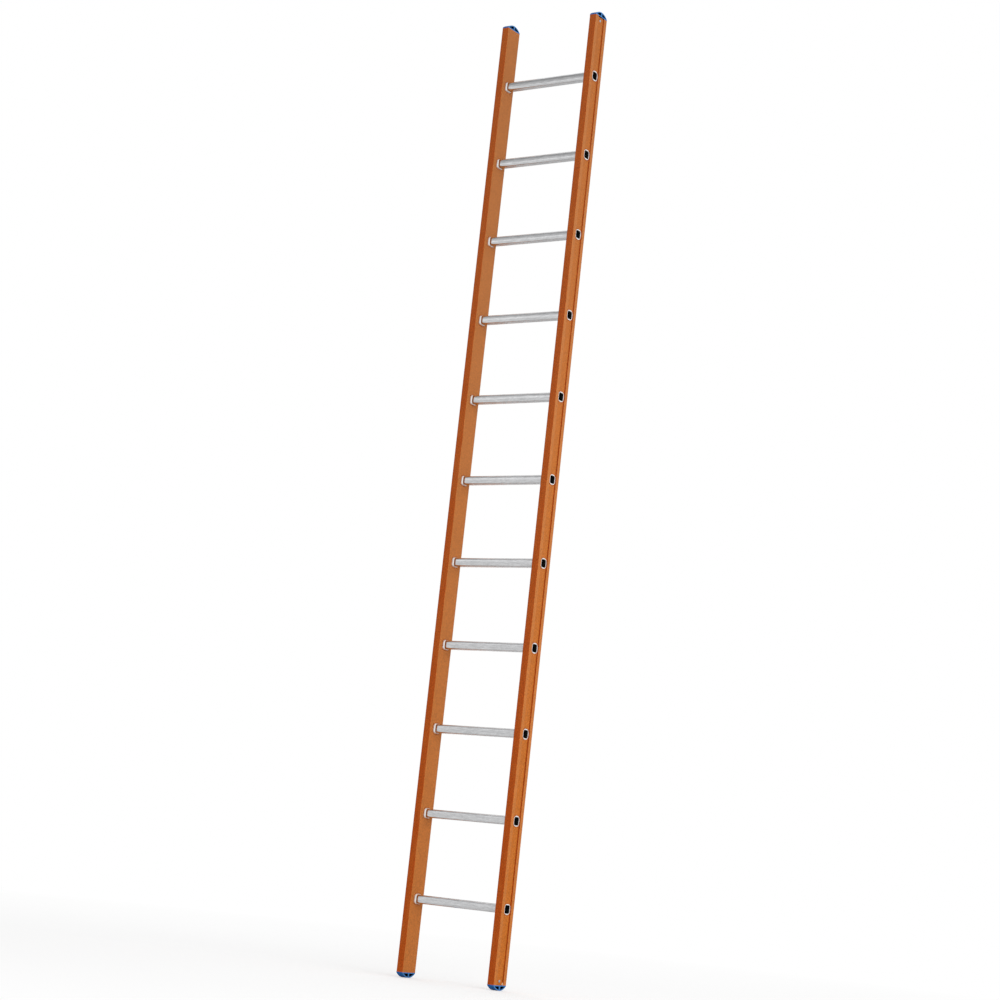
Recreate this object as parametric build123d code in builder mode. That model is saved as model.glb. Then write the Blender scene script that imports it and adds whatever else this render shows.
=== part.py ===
from build123d import *
import os

# Single-section ladder. Millimetres, +Z up the stiles, +X to the climber's right, +Y to the rear,
# origin on the ground midway between the feet.

# Overall layout
RUNG_COUNT = 11
RUNG_PITCH = 280.0
FOOT_LENGTH = 238.0
HEAD_LENGTH = 210.0
OVERALL_WIDTH = 388.0

# Stile: pultruded box section with a recess down its outer face
STILE_WIDTH = 26.0
STILE_DEPTH = 69.0
STILE_WALL = 3.0
STILE_CORNER = 1.5
RECESS_DEPTH = 4.5
RECESS_CLEARANCE = 1.0

# Rung: extruded square tube with grooved treads
RUNG_SIZE = 30.0
RUNG_WALL = 2.2
RUNG_CORNER = 4.5
GROOVE_COUNT = 4
GROOVE_SIDES = 4  # cut by a square stood on its corner
GROOVE_DEPTH = 0.9

# Swaged rung end: collar inside the stile, neck through it, lip flared over in the recess
COLLAR_OVERHANG = 2.5
COLLAR_LENGTH = 8.0
COLLAR_SLOPE_RISE = 2.2
COLLAR_SLOPE_LENGTH = 7.2
LIP_OVERHANG = 2.5
LIP_THICKNESS = 2.0
MOUTH_BEVEL = 1.3
RUNG_CLEARANCE = 0.15

# End cap: domed head outside the stile, hollow spigot inside it
CAP_RISE = 17.0
CAP_EDGE = 2.5
CAP_RIM = 3.2
CAP_WEB = 5.0
CAP_CORE = 5.0
SPIGOT_LENGTH = 45.0
SPIGOT_WALL = 2.5
SPIGOT_CLEARANCE = 0.25

# Blind rivet through the recess floor and the spigot wall
RIVET_SETBACK = 12.5
RIVET_HEAD_DIAMETER = 9.5
RIVET_HEAD_HEIGHT = 1.2
RIVET_SHANK_DIAMETER = 4.8
RIVET_TAIL_DIAMETER = 7.4
RIVET_TAIL_LENGTH = 4.0
RIVET_CLEARANCE = 0.1

# Leg of a 45 degree flat that just touches a round corner, as a share of the corner's radius
CORNER_FLAT = 2 - 2**0.5

# Sides of the ladder and ends of a stile, as signs along X and Z
LEFT, RIGHT = -1, 1
FOOT, HEAD = -1, 1

# Places and sizes that follow from the dimensions above
stile_foot = CAP_RISE
first_rung = stile_foot + FOOT_LENGTH
last_rung = first_rung + (RUNG_COUNT - 1) * RUNG_PITCH
stile_head = last_rung + HEAD_LENGTH
outer_face = OVERALL_WIDTH / 2
inner_face = outer_face - STILE_WIDTH
stile_centre = outer_face - STILE_WIDTH / 2
recess_floor = outer_face - RECESS_DEPTH
recess_width = RUNG_SIZE + 2 * (LIP_OVERHANG + RECESS_CLEARANCE)
hole_size = RUNG_SIZE + 2 * RUNG_CLEARANCE
rung_end = recess_floor + LIP_THICKNESS
groove_pitch = (RUNG_SIZE - 2 * RUNG_CORNER) / GROOVE_COUNT
spigot_inset = STILE_WALL + SPIGOT_CLEARANCE
rivet_grip = spigot_inset + SPIGOT_WALL
rivet_hole_radius = RIVET_SHANK_DIAMETER / 2 + RIVET_CLEARANCE


def end_height(end):
    """Height of a stile's cut end."""
    return stile_head if end == HEAD else stile_foot


def rung_plane(x, height):
    """Plane across a rung at x, its normal along +X and its centre on the rung's axis."""
    return Plane(origin=(x, 0, height), x_dir=(0, 1, 0), z_dir=(1, 0, 0))


def rivet_plane(side, end):
    """Plane on the recess floor at a rivet's centre, its normal pointing out of the stile."""
    origin = (side * recess_floor, 0, end_height(end) - end * RIVET_SETBACK)
    return Plane(origin=origin, x_dir=(0, 1, 0), z_dir=(side, 0, 0))


def square_face(builder, x):
    """The face of a part that lies square to X nearest to x."""
    return builder.faces().filter_by(Axis.X).sort_by(lambda face: abs(face.center().X - x))[0]


def inner_outline(side, inset):
    """Sketch of a stile's section with square corners, drawn in from its surface by inset."""
    with BuildSketch() as outline:
        with Locations((side * stile_centre, 0)):
            Rectangle(STILE_WIDTH - 2 * inset, STILE_DEPTH - 2 * inset)
        with Locations((side * outer_face, 0)):
            Rectangle(2 * (RECESS_DEPTH + inset), recess_width + 2 * inset, mode=Mode.SUBTRACT)
    return outline.sketch


def swaged_outline(growth):
    """Sketch of a rung's section where it is swaged, with flattened corners, grown all round."""
    size = RUNG_SIZE + 2 * growth
    with BuildSketch() as outline:
        Rectangle(size, size)
        chamfer(outline.vertices(), CORNER_FLAT * (RUNG_CORNER + growth))
    return outline.sketch


def dome_outline(end):
    """Sketch of a cap's head from the side, standing on a stile's cut end."""
    half_depth = STILE_DEPTH / 2
    base = end_height(end)
    edge = base + end * CAP_EDGE
    with BuildSketch() as outline:
        with BuildLine():
            Polyline((-half_depth, edge), (-half_depth, base), (half_depth, base), (half_depth, edge))
            ThreePointArc((half_depth, edge), (0, base + end * CAP_RISE), (-half_depth, edge))
        make_face()
    return outline.sketch


def make_stile(name, side):
    """Write one stile: the section run from end to end, then punched."""
    with BuildPart() as stile:
        # Closed section, run from end to end
        with BuildSketch(Plane.XY.offset(stile_foot)):
            with Locations((side * stile_centre, 0)):
                RectangleRounded(STILE_WIDTH, STILE_DEPTH, STILE_CORNER)
            with Locations((side * outer_face, 0)):
                Rectangle(2 * RECESS_DEPTH, recess_width, mode=Mode.SUBTRACT)
            add(inner_outline(side, STILE_WALL), mode=Mode.SUBTRACT)
        extrude(amount=stile_head - stile_foot)

        # Square holes for the rungs, through the inner wall and the recess floor
        with BuildSketch(rung_plane(side * stile_centre, first_rung)):
            with Locations(*[(0, step * RUNG_PITCH) for step in range(RUNG_COUNT)]):
                Rectangle(hole_size, hole_size)
        extrude(amount=STILE_WIDTH, both=True, mode=Mode.SUBTRACT)

        # One rivet hole near each end, through the recess floor only
        for end in (FOOT, HEAD):
            with BuildSketch(rivet_plane(side, end)):
                Circle(rivet_hole_radius)
            extrude(amount=-rivet_grip, mode=Mode.SUBTRACT)
    stile.part.label = name
    export_step(stile.part, f"parts/{name}.step")


def make_rung(name, height):
    """Write one rung: tube stock, both swaged ends, then the bore."""
    with BuildPart() as rung:
        # Tube stock between the stiles, with grooved treads above and below
        with BuildSketch(rung_plane(0, height)):
            RectangleRounded(RUNG_SIZE, RUNG_SIZE, RUNG_CORNER)
            for tread in (-RUNG_SIZE / 2, RUNG_SIZE / 2):
                with Locations((0, tread)):
                    with GridLocations(groove_pitch, 0, GROOVE_COUNT, 1):
                        RegularPolygon(GROOVE_DEPTH, GROOVE_SIDES, mode=Mode.SUBTRACT)
        extrude(amount=inner_face, both=True)

        for side in (LEFT, RIGHT):
            # Collar swelled out against the inside of the stile and sloped down to the tread
            with BuildSketch(rung_plane(side * inner_face, height)):
                add(swaged_outline(COLLAR_OVERHANG))
            extrude(amount=-side * COLLAR_LENGTH)
            shoulder = square_face(rung, side * (inner_face - COLLAR_LENGTH))
            rim = shoulder.outer_wire().edges()
            chamfer(rim, COLLAR_SLOPE_RISE, COLLAR_SLOPE_LENGTH, reference=shoulder)

            # Neck through the stile, and the lip flared over the recess floor
            with BuildSketch(rung_plane(side * inner_face, height)):
                add(swaged_outline(0))
            extrude(amount=side * (recess_floor - inner_face))
            with BuildSketch(rung_plane(side * recess_floor, height)):
                add(swaged_outline(LIP_OVERHANG))
            extrude(amount=side * LIP_THICKNESS)

        # Bore from end to end, opened out at each mouth
        with BuildSketch(rung_plane(0, height)):
            add(swaged_outline(-RUNG_WALL))
        extrude(amount=rung_end, both=True, mode=Mode.SUBTRACT)
        for x in (-rung_end, rung_end):
            chamfer(square_face(rung, x).inner_wires()[0].edges(), MOUTH_BEVEL)
    rung.part.label = name
    export_step(rung.part, f"parts/{name}.step")


def make_cap(name, side, end):
    """Write one end cap: the domed and pocketed head, then the spigot."""
    base_plane = Plane.XY.offset(end_height(end))
    with BuildPart() as cap:
        # Head: the stile's rounded outline carried out, then trimmed to the dome
        with BuildSketch(base_plane):
            with Locations((side * stile_centre, 0)):
                RectangleRounded(STILE_WIDTH, STILE_DEPTH, STILE_CORNER)
        extrude(amount=end * CAP_RISE)
        with BuildSketch(Plane.YZ.offset(side * stile_centre)):
            add(dome_outline(end))
        extrude(amount=STILE_WIDTH, both=True, mode=Mode.INTERSECT)

        # Two pockets in each side, framed by the rim, parted by a web and closed by the core
        for face in (LEFT, RIGHT):
            with BuildSketch(Plane.YZ.offset(side * stile_centre + face * CAP_CORE / 2)):
                add(dome_outline(end))
                offset(amount=-CAP_RIM, kind=Kind.INTERSECTION)
                with Locations((0, end_height(end) + end * CAP_RISE / 2)):
                    Rectangle(CAP_WEB, CAP_RISE, mode=Mode.SUBTRACT)
            extrude(amount=face * STILE_WIDTH, mode=Mode.SUBTRACT)

        # Spigot: an easy fit in the stile, hollow and open at its inner end
        with BuildSketch(base_plane):
            add(inner_outline(side, spigot_inset))
        extrude(amount=-end * SPIGOT_LENGTH)
        with BuildSketch(base_plane):
            add(inner_outline(side, rivet_grip))
        extrude(amount=-end * SPIGOT_LENGTH, mode=Mode.SUBTRACT)
        with BuildSketch(rivet_plane(side, end)):
            Circle(rivet_hole_radius)
        extrude(amount=-rivet_grip, mode=Mode.SUBTRACT)
    cap.part.label = name
    export_step(cap.part, f"parts/{name}.step")


def make_rivet(name, side, end):
    """Write one blind rivet, turned from its half profile."""
    shank_radius = RIVET_SHANK_DIAMETER / 2
    tail_end = -rivet_grip - RIVET_TAIL_LENGTH
    seat = rivet_plane(side, end)
    with BuildPart() as rivet:
        # Half profile, from the crown of the head down to the set tail
        with BuildSketch(Plane(origin=seat.origin, x_dir=(0, 1, 0), z_dir=(0, 0, -side))):
            with BuildLine():
                Polyline(
                    (0, RIVET_HEAD_HEIGHT),
                    (RIVET_HEAD_DIAMETER / 2, RIVET_HEAD_HEIGHT),
                    (RIVET_HEAD_DIAMETER / 2, 0),
                    (shank_radius, 0),
                    (shank_radius, -rivet_grip),
                    (RIVET_TAIL_DIAMETER / 2, -rivet_grip),
                    (RIVET_TAIL_DIAMETER / 2, tail_end),
                    (0, tail_end),
                    close=True,
                )
            make_face()
        revolve(axis=Axis(seat.origin, seat.z_dir))
    rivet.part.label = name
    export_step(rivet.part, f"parts/{name}.step")


os.makedirs("parts", exist_ok=True)
for side_name, side in (("left", LEFT), ("right", RIGHT)):
    make_stile(f"{side_name}_stile", side)
    for end_name, end in (("foot", FOOT), ("top", HEAD)):
        make_cap(f"{end_name}_cap_{side_name}", side, end)
        make_rivet(f"rivet_{end_name}_{side_name}", side, end)
for number in range(1, RUNG_COUNT + 1):
    make_rung(f"rung_{number:02d}", first_rung + (number - 1) * RUNG_PITCH)
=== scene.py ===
import math

import bmesh
import bpy
from mathutils import Matrix, Vector


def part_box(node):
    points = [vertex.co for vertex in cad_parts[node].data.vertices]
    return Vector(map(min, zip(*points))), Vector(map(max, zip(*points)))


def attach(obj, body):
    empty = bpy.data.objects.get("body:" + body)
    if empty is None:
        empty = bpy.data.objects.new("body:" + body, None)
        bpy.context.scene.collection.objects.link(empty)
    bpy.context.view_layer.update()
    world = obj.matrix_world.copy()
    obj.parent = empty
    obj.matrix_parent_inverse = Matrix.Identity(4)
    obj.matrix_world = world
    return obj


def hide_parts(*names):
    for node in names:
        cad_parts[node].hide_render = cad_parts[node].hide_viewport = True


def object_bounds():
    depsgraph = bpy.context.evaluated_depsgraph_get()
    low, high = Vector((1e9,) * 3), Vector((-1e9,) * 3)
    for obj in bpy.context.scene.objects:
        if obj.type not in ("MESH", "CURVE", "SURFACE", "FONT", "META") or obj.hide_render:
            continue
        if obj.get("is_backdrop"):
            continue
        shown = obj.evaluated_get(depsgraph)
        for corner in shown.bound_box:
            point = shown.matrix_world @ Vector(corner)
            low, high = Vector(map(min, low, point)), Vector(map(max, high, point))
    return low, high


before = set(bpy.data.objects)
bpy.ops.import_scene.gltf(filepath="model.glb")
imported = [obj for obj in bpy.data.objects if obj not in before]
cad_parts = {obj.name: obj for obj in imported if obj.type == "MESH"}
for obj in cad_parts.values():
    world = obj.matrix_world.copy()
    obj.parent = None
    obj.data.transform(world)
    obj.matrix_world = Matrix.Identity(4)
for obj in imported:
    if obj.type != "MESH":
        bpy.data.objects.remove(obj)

cad_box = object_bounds()

# Single-section ladder: pultruded glass-fibre stiles, swaged aluminium rungs, moulded end caps and
# blind rivets. Metres, +Z up the stiles, +X to the climber's right, +Y to the rear.

# Camera, as the photograph was taken: low, in front and to the right, tilted a little
VIEW_AZIMUTH = math.radians(35.51)
VIEW_ELEVATION = math.radians(-9.577)
VIEW_ROLL = math.radians(6.217)
VIEW_PLACE = Vector((4.2868, -6.0224, 0.3399))
VIEW_LENS = 80.93
VIEW_SENSOR = 36.0

# Stile section
STILE_WALL = 0.003
STILE_CORNER = 0.0015
STILE_INNER_CORNER = 0.001
RECESS_DEPTH = 0.0045
RECESS_HALF = 0.0185
RECESS_EDGE = 0.0009
RECESS_ROOT = 0.0008
HOLE_CLEARANCE = 0.00015
HOLE_CORNER = 0.00865
HOLE_FRAME = 0.001

# Corners of the stile's outline at which its inner face and its recess floor start
INNER_FACE_START = 0
RECESS_FLOOR_START = 4

# Rung section and swaged ends
RUNG_COUNT = 11
RUNG_HALF = 0.015
RUNG_CORNER = 0.0060
RUNG_WALL = 0.0022
TREAD_DRAW = 0.0009
TREAD_HOLD = 0.0006
GROOVE_COUNT = 4
GROOVE_HALF_WIDTH = 0.0011
GROOVE_DEPTH = 0.0009
SIDE_CROWN = 0.0009
COLLAR_LENGTH = 0.0080
COLLAR_OVERHANG = 0.0022
COLLAR_CORNER = 0.0095
COLLAR_BULGE = 0.0006
COLLAR_HEEL = 0.0003
LIP_OVERHANG = 0.0025
LIP_CORNER = 0.0158
LIP_THICKNESS = 0.0020
LIP_HEEL = 0.0005
LIP_EDGE = 0.0009
NECK_CORNER = 0.0085
MOUTH_ROUND = 0.0013
BORE_CORNER = 0.0058
BORE_RUN = 0.020

# How worn a point is, from zero to one; below zero, dirt in a rung's grooves and painted shade in a
# stile's recess roots
ROOT_SHADE = -1.0
CREST_WEAR = 0.35
COLLAR_WEAR = 0.9
LIP_SIDE_WEAR = 0.8
LIP_FACE_WEAR = 1.0
MOUTH_WEAR = 0.3
# The caps' edge and rim values are wear and painted highlight
EDGE_WEAR_AND_HIGHLIGHT = 0.7
RIM_WEAR_AND_HIGHLIGHT = 0.2

# End cap: domed head outside the stile, hollow spigot inside it
CAP_EDGE = 0.0025
CAP_ROUND = 0.0010
CAP_RIM = 0.0032
CAP_WEB = 0.0050
CAP_CORE = 0.0050
POCKET_ROUND = 0.0004
LEDGE_SCALE = 0.97
SPIGOT_INSET = 0.00325
SPIGOT_WALL = 0.0025
SPIGOT_LENGTH = 0.045
SPIGOT_CORNER = 0.0008

# Rivet head and body
RIVET_SETBACK = 0.0125
RIVET_HEAD = 0.00445
RIVET_CROWN = 0.0013
RIVET_EDGE = 0.0003
RIVET_SOCKET = 0.0013
RIVET_SOCKET_DEPTH = 0.0004
RIVET_SHANK = 0.0024
RIVET_TAIL = 0.0037
RIVET_GRIP = 0.00575
RIVET_TAIL_LENGTH = 0.004

# Chip at the right stile's foot, above the cut end
CHIP_RISE = 0.003
CHIP_SIZE = (0.0028, 0.0028, 0.0065)

# Fineness of the rounded parts
CORNER_STEPS = 8
ROUND_STEPS = 8
GROOVE_STEPS = 6
RIVET_SIDES = 40
DOME_STEPS = 40
SHARP_ANGLE = math.radians(30)

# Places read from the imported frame
stile_low, stile_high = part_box("right_stile")
inner_face = stile_low.x
outer_face = stile_high.x
half_depth = stile_high.y
recess_floor = outer_face - RECESS_DEPTH
hole_half = RUNG_HALF + HOLE_CLEARANCE
cap_rise = stile_low.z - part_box("foot_cap_right")[0].z
dome_radius = (half_depth**2 + (cap_rise - CAP_EDGE) ** 2) / (2 * (cap_rise - CAP_EDGE))
dome_centre = cap_rise - dome_radius
chip_place = (recess_floor + RECESS_ROOT, RECESS_HALF, stile_low.z + CHIP_RISE)
rung_heights = []
for rung_number in range(1, RUNG_COUNT + 1):
    box_low, box_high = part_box(f"rung_{rung_number:02d}")
    rung_heights.append((box_low.z + box_high.z) / 2)


# Mesh helpers

def corner_arcs(corners, radii):
    """One rounded arc for each right-angled corner of a closed outline, as (u, v, wear) points."""
    arcs = []
    for index, corner in enumerate(corners):
        corner = Vector(corner)
        back = (Vector(corners[index - 1]) - corner).normalized()
        ahead = (Vector(corners[(index + 1) % len(corners)]) - corner).normalized()
        radius = radii[index]
        centre = corner + (back + ahead) * radius
        arc = []
        for step in range(CORNER_STEPS + 1):
            turn = math.pi / 2 * step / CORNER_STEPS
            point = centre - ahead * radius * math.cos(turn) - back * radius * math.sin(turn)
            arc.append((point.x, point.y, math.sin(2 * turn)))
        arcs.append(arc)
    return arcs


def add_loop(bm, wear_layer, points):
    """Vertices for one closed loop of (position, wear) pairs; wear below zero is dirt in grooves
    and painted shade in recess roots.
    """
    loop = []
    for position, wear in points:
        vertex = bm.verts.new(position)
        vertex[wear_layer] = wear
        loop.append(vertex)
    return loop


def bridge(bm, first, second, material=0):
    """Quads all round between two closed loops of the same length."""
    for index in range(len(first)):
        after = (index + 1) % len(first)
        face = bm.faces.new((first[index], first[after], second[after], second[index]))
        face.material_index = material


def finish_piece(bm, name, node, materials):
    """Turn a mesh in the making into a piece that stands for a CAD node."""
    bmesh.ops.recalc_face_normals(bm, faces=bm.faces)
    mesh = bpy.data.meshes.new(name)
    bm.to_mesh(mesh)
    bm.free()
    for material in materials:
        mesh.materials.append(material)
    mesh.shade_smooth()
    mesh.set_sharp_from_angle(angle=SHARP_ANGLE)
    piece = bpy.data.objects.new(name, mesh)
    bpy.context.scene.collection.objects.link(piece)
    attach(piece, "root")
    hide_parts(node)


# Node helpers

def new_material(name):
    """A material with nodes, its node tree and its shader."""
    material = bpy.data.materials.new(name)
    material.use_nodes = True
    return material, material.node_tree, material.node_tree.nodes["Principled BSDF"]


def add_node(tree, kind, inputs=None, **settings):
    """Add a node, set its properties, and link or set its inputs."""
    node = tree.nodes.new(kind)
    for key, value in settings.items():
        setattr(node, key, value)
    for key, value in (inputs or {}).items():
        if isinstance(value, bpy.types.NodeSocket):
            tree.links.new(value, node.inputs[key])
        else:
            node.inputs[key].default_value = value
    return node


def object_place(tree):
    """Where a point is, in metres, as the object's own coordinates."""
    return add_node(tree, "ShaderNodeTexCoord").outputs["Object"]


def axes_of(tree, vector):
    """A vector's x, y and z."""
    return add_node(tree, "ShaderNodeSeparateXYZ", {0: vector}).outputs


def noise(tree, scale, detail=2.0, roughness=0.5):
    """Noise in object space, with its own scale along each axis, per metre."""
    mapped = add_node(tree, "ShaderNodeMapping", {"Vector": object_place(tree), "Scale": scale})
    settings = {
        "Vector": mapped.outputs[0],
        "Scale": 1.0,
        "Detail": detail,
        "Roughness": roughness,
    }
    return add_node(tree, "ShaderNodeTexNoise", settings).outputs[0]


def remap(tree, value, low, high, to_low=0.0, to_high=1.0):
    """Stretch a value from one range to another, clamped."""
    settings = {
        "Value": value,
        "From Min": low,
        "From Max": high,
        "To Min": to_low,
        "To Max": to_high,
    }
    return add_node(tree, "ShaderNodeMapRange", settings).outputs[0]


def math_node(tree, operation, first, second=0.0):
    """One sum of two values, each a socket or a number."""
    return add_node(tree, "ShaderNodeMath", {0: first, 1: second}, operation=operation).outputs[0]


def absolute(tree, value):
    """A value without its sign."""
    return math_node(tree, "ABSOLUTE", value)


def length_of(tree, vector):
    """How long a vector is."""
    return add_node(tree, "ShaderNodeVectorMath", {0: vector}, operation="LENGTH").outputs["Value"]


def blend_colours(tree, share, first, second, mode="MIX"):
    """Mix two colours; each may be a socket or a plain (r, g, b)."""
    node = add_node(tree, "ShaderNodeMix", {0: share}, data_type="RGBA", blend_type=mode)
    for index, colour in ((6, first), (7, second)):
        if isinstance(colour, bpy.types.NodeSocket):
            tree.links.new(colour, node.inputs[index])
        else:
            node.inputs[index].default_value = (*colour, 1.0)
    return node.outputs[2]


def shade_by(tree, colour, pattern, levels):
    """Darken and lighten a colour by a pattern stretched over a range of levels."""
    return blend_colours(tree, 1.0, colour, remap(tree, pattern, *levels), "MULTIPLY")


def grey_steps(tree, value, steps):
    """A grey level that follows (place, level) steps along a value."""
    node = add_node(tree, "ShaderNodeValToRGB", {0: value})
    stops = node.color_ramp.elements
    while len(stops) < len(steps):
        stops.new(1.0)
    for stop, (place, level) in zip(stops, steps):
        stop.position = place
        stop.color = (level, level, level, 1.0)
    return node.outputs[0]


def bump(tree, height, distance, under=None):
    """A normal roughened by a height, on top of another bump if there is one."""
    inputs = {"Height": height, "Distance": distance, "Strength": 1.0}
    if under is not None:
        inputs["Normal"] = under
    return add_node(tree, "ShaderNodeBump", inputs).outputs[0]


def stored(tree, name):
    """A value kept on the mesh's vertices, such as how exposed to wear a point is."""
    return add_node(tree, "ShaderNodeAttribute", attribute_name=name).outputs["Fac"]


# Glass fibre

# Here and below, a SCALE is for noise, and a RANGE holds what remap takes after the value:
# its low and high, and what they become. A pair of COLOURS is the darker and the lighter one.
FIBRE_SCALE = (1100, 1100, 9)
FIBRE_GRAIN_SCALE = (1900, 1900, 700)
FIBRE_CLOUD_SCALE = (70, 70, 16)
FIBRE_MOTTLE_SCALE = (260, 260, 190)
FIBRE_SCUFF_SCALE = (260, 260, 70)
CHIP_SCALE = (900, 900, 240)

WEB_COLOURS = ((0.46, 0.125, 0.014), (0.58, 0.172, 0.024))
# The flanges' colours are a darker, redder copy of the webs': painted shade
SHADED_FLANGE_COLOURS = ((0.46, 0.068, 0.004), (0.56, 0.092, 0.007))
FIBRE_GRAIN_COLOUR = (0.33, 0.085, 0.016)
FIBRE_CLOUD_COLOUR = (0.60, 0.18, 0.03)
# Paler and greyer with height: painted sheen
PAINTED_SHEEN_COLOUR = (0.42, 0.15, 0.048)
# Paler outside the recess, with the recess floor left darker: painted light and shade
OUTSIDE_RECESS_LIGHT_COLOUR = (0.58, 0.34, 0.17)
# Darker towards the head: painted shade
TOP_SHADE_COLOUR = (0.0, 0.0, 0.0)
FIBRE_SCUFF_COLOUR = (0.60, 0.28, 0.11)
# Dirt and painted shade, in the recess roots and round the joints
FIBRE_DIRT_AND_SHADE_COLOUR = (0.26, 0.042, 0.004)
BARE_FIBRE_COLOUR = (0.80, 0.60, 0.40)

SHADED_FLANGE_RANGE = (0.45, 0.95)
FIBRE_GRAIN_RANGE = (0.35, 0.75, 0.0, 0.35)
FIBRE_CLOUD_RANGE = (0.45, 0.8, 0.0, 0.30)
FIBRE_MOTTLE_RANGE = (0.35, 0.65, 0.71, 1.19)
PAINTED_SHEEN_RANGE = (0.2, 2.4, 0.0, 0.47)
OUTSIDE_RECESS_LIGHT_RANGE = (0.001, RECESS_DEPTH, 0.0, 0.10)
TOP_SHADE_RANGE = (1.8, 3.1, 0.0, 0.10)
FIBRE_SCUFF_RANGE = (0.62, 0.74, 0.0, 0.22)
FIBRE_RUBBED_RANGE = (0.40, 0.70, 0.0, 0.30)
ROOT_SHADE_RANGE = (0.0, ROOT_SHADE, 0.0, 0.65)
JOINT_DIRT_AND_SHADE_RANGE = (0.35, 0.65, 0.35, 0.85)
CHIP_RAGGED_RANGE = (0.3, 0.7, -0.3, 0.3)
CHIP_RANGE = (0.7, 1.0, 0.9, 0.0)
FIBRE_ROUGHNESS_RANGE = (0.3, 0.7, 0.36, 0.50)

PAINTED_SHEEN_ON_FLANGE = 0.45
OUTSIDE_RECESS_LIGHT_ON_FLANGE = 0.0
TOP_SHADE_ON_FLANGE = 0.3
RUNG_RING_SQUARENESS = 4.0
RUNG_RING_RUN = 0.0035
RIVET_RING_SQUARENESS = 2.0
RIVET_RING_RUN = 0.00175
FIBRE_SPECULAR = 0.07
FIBRE_RELIEF = 0.00006
FIBRE_GRAIN_RELIEF = 0.00004


def ring(tree, across, along, squareness, size, run):
    """One beside a rounded square or a circle of that half size, fading out over the run."""
    sides = []
    for value in (across, along):
        sides.append(math_node(tree, "POWER", absolute(tree, value), squareness))
    reach = math_node(tree, "POWER", math_node(tree, "ADD", *sides), 1 / squareness)
    return remap(tree, reach, size, size + run, 1.0, 0.0)


def joint_dirt_and_shade(tree):
    """Where a stile darkens round the rungs, and round the rivets in the recess: dirt and painted
    contact shade.
    """
    x, y, z = axes_of(tree, object_place(tree))
    pitch = rung_heights[1] - rung_heights[0]
    low = rung_heights[0] - pitch / 2
    span = {0: z, 1: low + pitch, 2: low}
    wrapped = add_node(tree, "ShaderNodeMath", span, operation="WRAP").outputs[0]
    from_rung = math_node(tree, "SUBTRACT", wrapped, rung_heights[0])
    collar = RUNG_HALF + COLLAR_OVERHANG
    rungs = ring(tree, y, from_rung, RUNG_RING_SQUARENESS, collar, RUNG_RING_RUN)

    middle = (stile_low.z + stile_high.z) / 2
    from_middle = absolute(tree, math_node(tree, "SUBTRACT", z, middle))
    rivet_height = stile_high.z - middle - RIVET_SETBACK
    from_rivet = math_node(tree, "SUBTRACT", from_middle, rivet_height)
    rivets = ring(tree, y, from_rivet, RIVET_RING_SQUARENESS, RIVET_HEAD, RIVET_RING_RUN)
    stile_middle = (inner_face + outer_face) / 2
    outside = math_node(tree, "GREATER_THAN", absolute(tree, x), stile_middle)
    return math_node(tree, "MAXIMUM", rungs, math_node(tree, "MULTIPLY", rivets, outside))


def foot_chip(tree):
    """Where the right stile's foot has lost its resin skin, behind the recess."""
    inputs = {0: object_place(tree), 1: chip_place}
    offset = add_node(tree, "ShaderNodeVectorMath", inputs, operation="SUBTRACT").outputs[0]
    inputs = {0: offset, 1: CHIP_SIZE}
    scaled = add_node(tree, "ShaderNodeVectorMath", inputs, operation="DIVIDE").outputs[0]
    ragged = remap(tree, noise(tree, CHIP_SCALE, detail=3), *CHIP_RAGGED_RANGE)
    reach = math_node(tree, "ADD", length_of(tree, scaled), ragged)
    return remap(tree, reach, *CHIP_RANGE)


def less_on_flange(tree, value, flange, share):
    """All of a value on the webs, and only a share of it on the flanges."""
    return math_node(tree, "MULTIPLY", value, remap(tree, flange, 0.0, 1.0, 1.0, share))


def new_fibre_colour(tree, fibres, grain, clouds, flange):
    """The resin's own colour: fibres, fine grain, clouds and mottle; the flanges are painted darker
    and redder as shade.
    """
    web = blend_colours(tree, fibres, *WEB_COLOURS)
    edge = blend_colours(tree, fibres, *SHADED_FLANGE_COLOURS)
    colour = blend_colours(tree, flange, web, edge)
    specks = remap(tree, grain, *FIBRE_GRAIN_RANGE)
    colour = blend_colours(tree, specks, colour, FIBRE_GRAIN_COLOUR)
    patches = remap(tree, clouds, *FIBRE_CLOUD_RANGE)
    colour = blend_colours(tree, patches, colour, FIBRE_CLOUD_COLOUR)
    mottle = noise(tree, FIBRE_MOTTLE_SCALE, detail=3, roughness=0.7)
    return shade_by(tree, colour, mottle, FIBRE_MOTTLE_RANGE)


def painted_light_fibre_colour(tree, colour, flange):
    """Pales the resin with height as painted sheen, lightens the webs except in the recess as
    painted light, and darkens the head as painted shade.
    """
    x, _, height = axes_of(tree, object_place(tree))
    # Paler and greyer with height: painted sheen
    painted_sheen = less_on_flange(tree, remap(tree, height, *PAINTED_SHEEN_RANGE), flange, PAINTED_SHEEN_ON_FLANGE)
    colour = blend_colours(tree, painted_sheen, colour, PAINTED_SHEEN_COLOUR)
    # Webs paler away from the recess floor, which stays darker: painted light and shade
    from_floor = math_node(tree, "SUBTRACT", absolute(tree, x), recess_floor)
    outside_recess_light = remap(tree, absolute(tree, from_floor), *OUTSIDE_RECESS_LIGHT_RANGE)
    outside_recess_light = less_on_flange(tree, outside_recess_light, flange, OUTSIDE_RECESS_LIGHT_ON_FLANGE)
    colour = blend_colours(tree, outside_recess_light, colour, OUTSIDE_RECESS_LIGHT_COLOUR)
    # Darker towards the head: painted shade
    top_shade = remap(tree, height, *TOP_SHADE_RANGE)
    top_shade = less_on_flange(tree, top_shade, flange, TOP_SHADE_ON_FLANGE)
    return blend_colours(tree, top_shade, colour, TOP_SHADE_COLOUR)


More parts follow.
